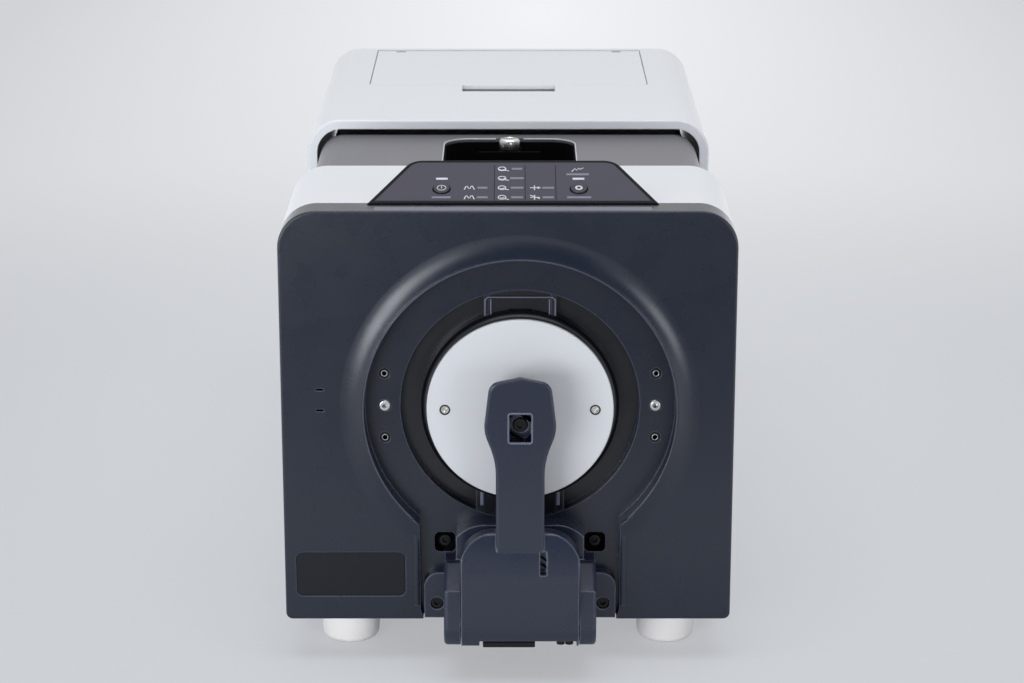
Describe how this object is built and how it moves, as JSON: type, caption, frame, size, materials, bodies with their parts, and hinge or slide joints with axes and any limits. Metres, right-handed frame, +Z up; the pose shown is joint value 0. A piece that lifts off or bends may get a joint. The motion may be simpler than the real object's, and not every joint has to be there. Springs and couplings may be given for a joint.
{
  "type": "benchtop spectrophotometer",
  "caption": "Benchtop spectrophotometer with a round measuring port and sprung specimen arm in front, a control panel on top, a sliding hood over a chamber and a lid in the hood.",
  "frame": {"origin": "on the table, under the middle of the whole instrument", "axes": "+Z up, -Y towards the user (the measuring port faces -Y), +X to the user's right"},
  "size_m": [0.2684, 0.537, 0.2931],
  "materials": {
    "panel_plastic": "fine matte texture, dark blue grey",
    "plate_foil": "satin",
    "white_shell": "smooth satin white",
    "foot_plastic": "soft matte warm white",
    "zinc_steel": "zinc plated",
    "black_steel": "black oxide",
    "cover_grey": "smooth satin dark grey",
    "rail_plastic": "slippery moulded",
    "rear_grey": "satin",
    "tray_plastic": "moulded satin",
    "bright_steel": "polished",
    "control_dark": "satin",
    "legend_sheet": "satin printed sheet",
    "light_lens": "clear diffusing lens",
    "button_plastic": "satin",
    "board_green": "lacquered board",
    "collar_plastic": "satin",
    "mask_white": "satin",
    "brass": "machined",
    "arm_plastic": "fine matte texture",
    "bronze": "sintered",
    "spring_steel": "drawn wire",
    "pad_rubber": "flat black",
    "liner_black": "flat black",
    "sphere_alloy": "machined outside, white coating inside",
    "bracket_alloy": "sheet",
    "spectro_alloy": "black anodised",
    "lamp_plastic": "moulded",
    "lens_glass": "polished",
    "supply_steel": "perforated sheet"
  },
  "bodies": {
    "root": {"front_panel": "panel_plastic", "label_plate": "plate_foil", "base_pan": "white_shell", "feet": "foot_plastic", "foot_screws": "zinc_steel", "front_housing": "white_shell", "side_screws": "black_steel", "chamber_cover": "cover_grey", "rear_cover": "cover_grey", "slide_rails": "rail_plastic", "rear_panel": "rear_grey", "rear_screws": "zinc_steel", "control_bezel": "control_dark", "control_plate": "legend_sheet", "status_lights": "light_lens", "indicator_windows": "light_lens", "keypad_board": "board_green", "port_collar": "collar_plastic", "target_mask": "mask_white", "mask_screws": "bright_steel", "gauge_pins": "zinc_steel", "ring_inserts": "brass", "holder_bracket": "arm_plastic", "bracket_screws": "black_steel", "hinge_pin": "bright_steel", "closing_spring": "spring_steel", "chamber_liner": "liner_black", "cell_holder": "liner_black", "sphere_front_half": "sphere_alloy", "sphere_rear_half": "sphere_alloy", "sphere_cradle": "bracket_alloy", "lamp_housings": "lamp_plastic", "optics_deck": "bracket_alloy", "lens_barrel": "lamp_plastic", "receiving_lens": "lens_glass", "spectrograph": "spectro_alloy", "standoffs": "brass", "main_board": "board_green", "power_supply": "supply_steel", "fan_frame": "lamp_plastic", "mains_inlet": "lamp_plastic", "switch_frame": "lamp_plastic", "usb_socket": "bright_steel"},
    "arm": {"arm_cover": "arm_plastic", "arm_core": "arm_plastic", "hinge_bushes": "bronze", "base_adjusters": "black_steel"},
    "pad": {"presser_pad": "pad_rubber", "pad_screw": "bright_steel", "pad_spring": "spring_steel"},
    "hood": {"hood": "white_shell", "hood_runners": "rail_plastic", "accessory_tray": "tray_plastic", "lid_hinge_pins": "bright_steel"},
    "lid": {"access_lid": "white_shell"},
    "power_button": {"power_button": "button_plastic"},
    "measure_button": {"measure_button": "button_plastic"},
    "thumb_screw": {"thumb_screw": "bright_steel"},
    "rocker": {"switch_rocker": "button_plastic"},
    "fan": {"fan_rotor": "lamp_plastic"}
  },
  "joints": [
    {"name": "hood_slide", "type": "slide", "parent": "root", "child": "hood", "axis": [0, -1, 0], "range_m": [0, 0.13]},
    {"name": "lid_hinge", "type": "hinge", "parent": "hood", "child": "lid", "pos_m": [0, 0.257, 0.2733], "axis": [-1, 0, 0], "range_deg": [0, 95]},
    {"name": "arm_hinge", "type": "hinge", "parent": "root", "child": "arm", "pos_m": [0.0071, -0.2545, 0.035], "axis": [1, 0, 0], "range_deg": [0, 90], "stiffness_Nm_per_rad": 0.25, "springref_deg": -91.67},
    {"name": "pad_slide", "type": "slide", "parent": "arm", "child": "pad", "axis": [0, -1, 0], "range_m": [0, 0.004], "stiffness_N_per_m": 300, "springref_m": -0.005, "deforming": ["pad_spring"]},
    {"name": "power_press", "type": "slide", "parent": "root", "child": "power_button", "axis": [0, 0.342, -0.9397], "range_m": [0, 0.0008], "stiffness_N_per_m": 1200, "springref_m": -0.0006},
    {"name": "measure_press", "type": "slide", "parent": "root", "child": "measure_button", "axis": [0, 0.342, -0.9397], "range_m": [0, 0.0008], "stiffness_N_per_m": 1200, "springref_m": -0.0006},
    {"name": "thumb_turn", "type": "hinge", "parent": "root", "child": "thumb_screw", "pos_m": [0.0009, -0.0005, 0.262], "axis": [0, 0, 1], "continuous": true},
    {"name": "rocker_tilt", "type": "hinge", "parent": "root", "child": "rocker", "pos_m": [-0.04, 0.2601, 0.066], "axis": [-1, 0, 0], "range_deg": [0, 20]},
    {"name": "fan_spin", "type": "hinge", "parent": "root", "child": "fan", "pos_m": [0.06, 0.2485, 0.185], "axis": [0, 1, 0], "continuous": true}
  ]
}
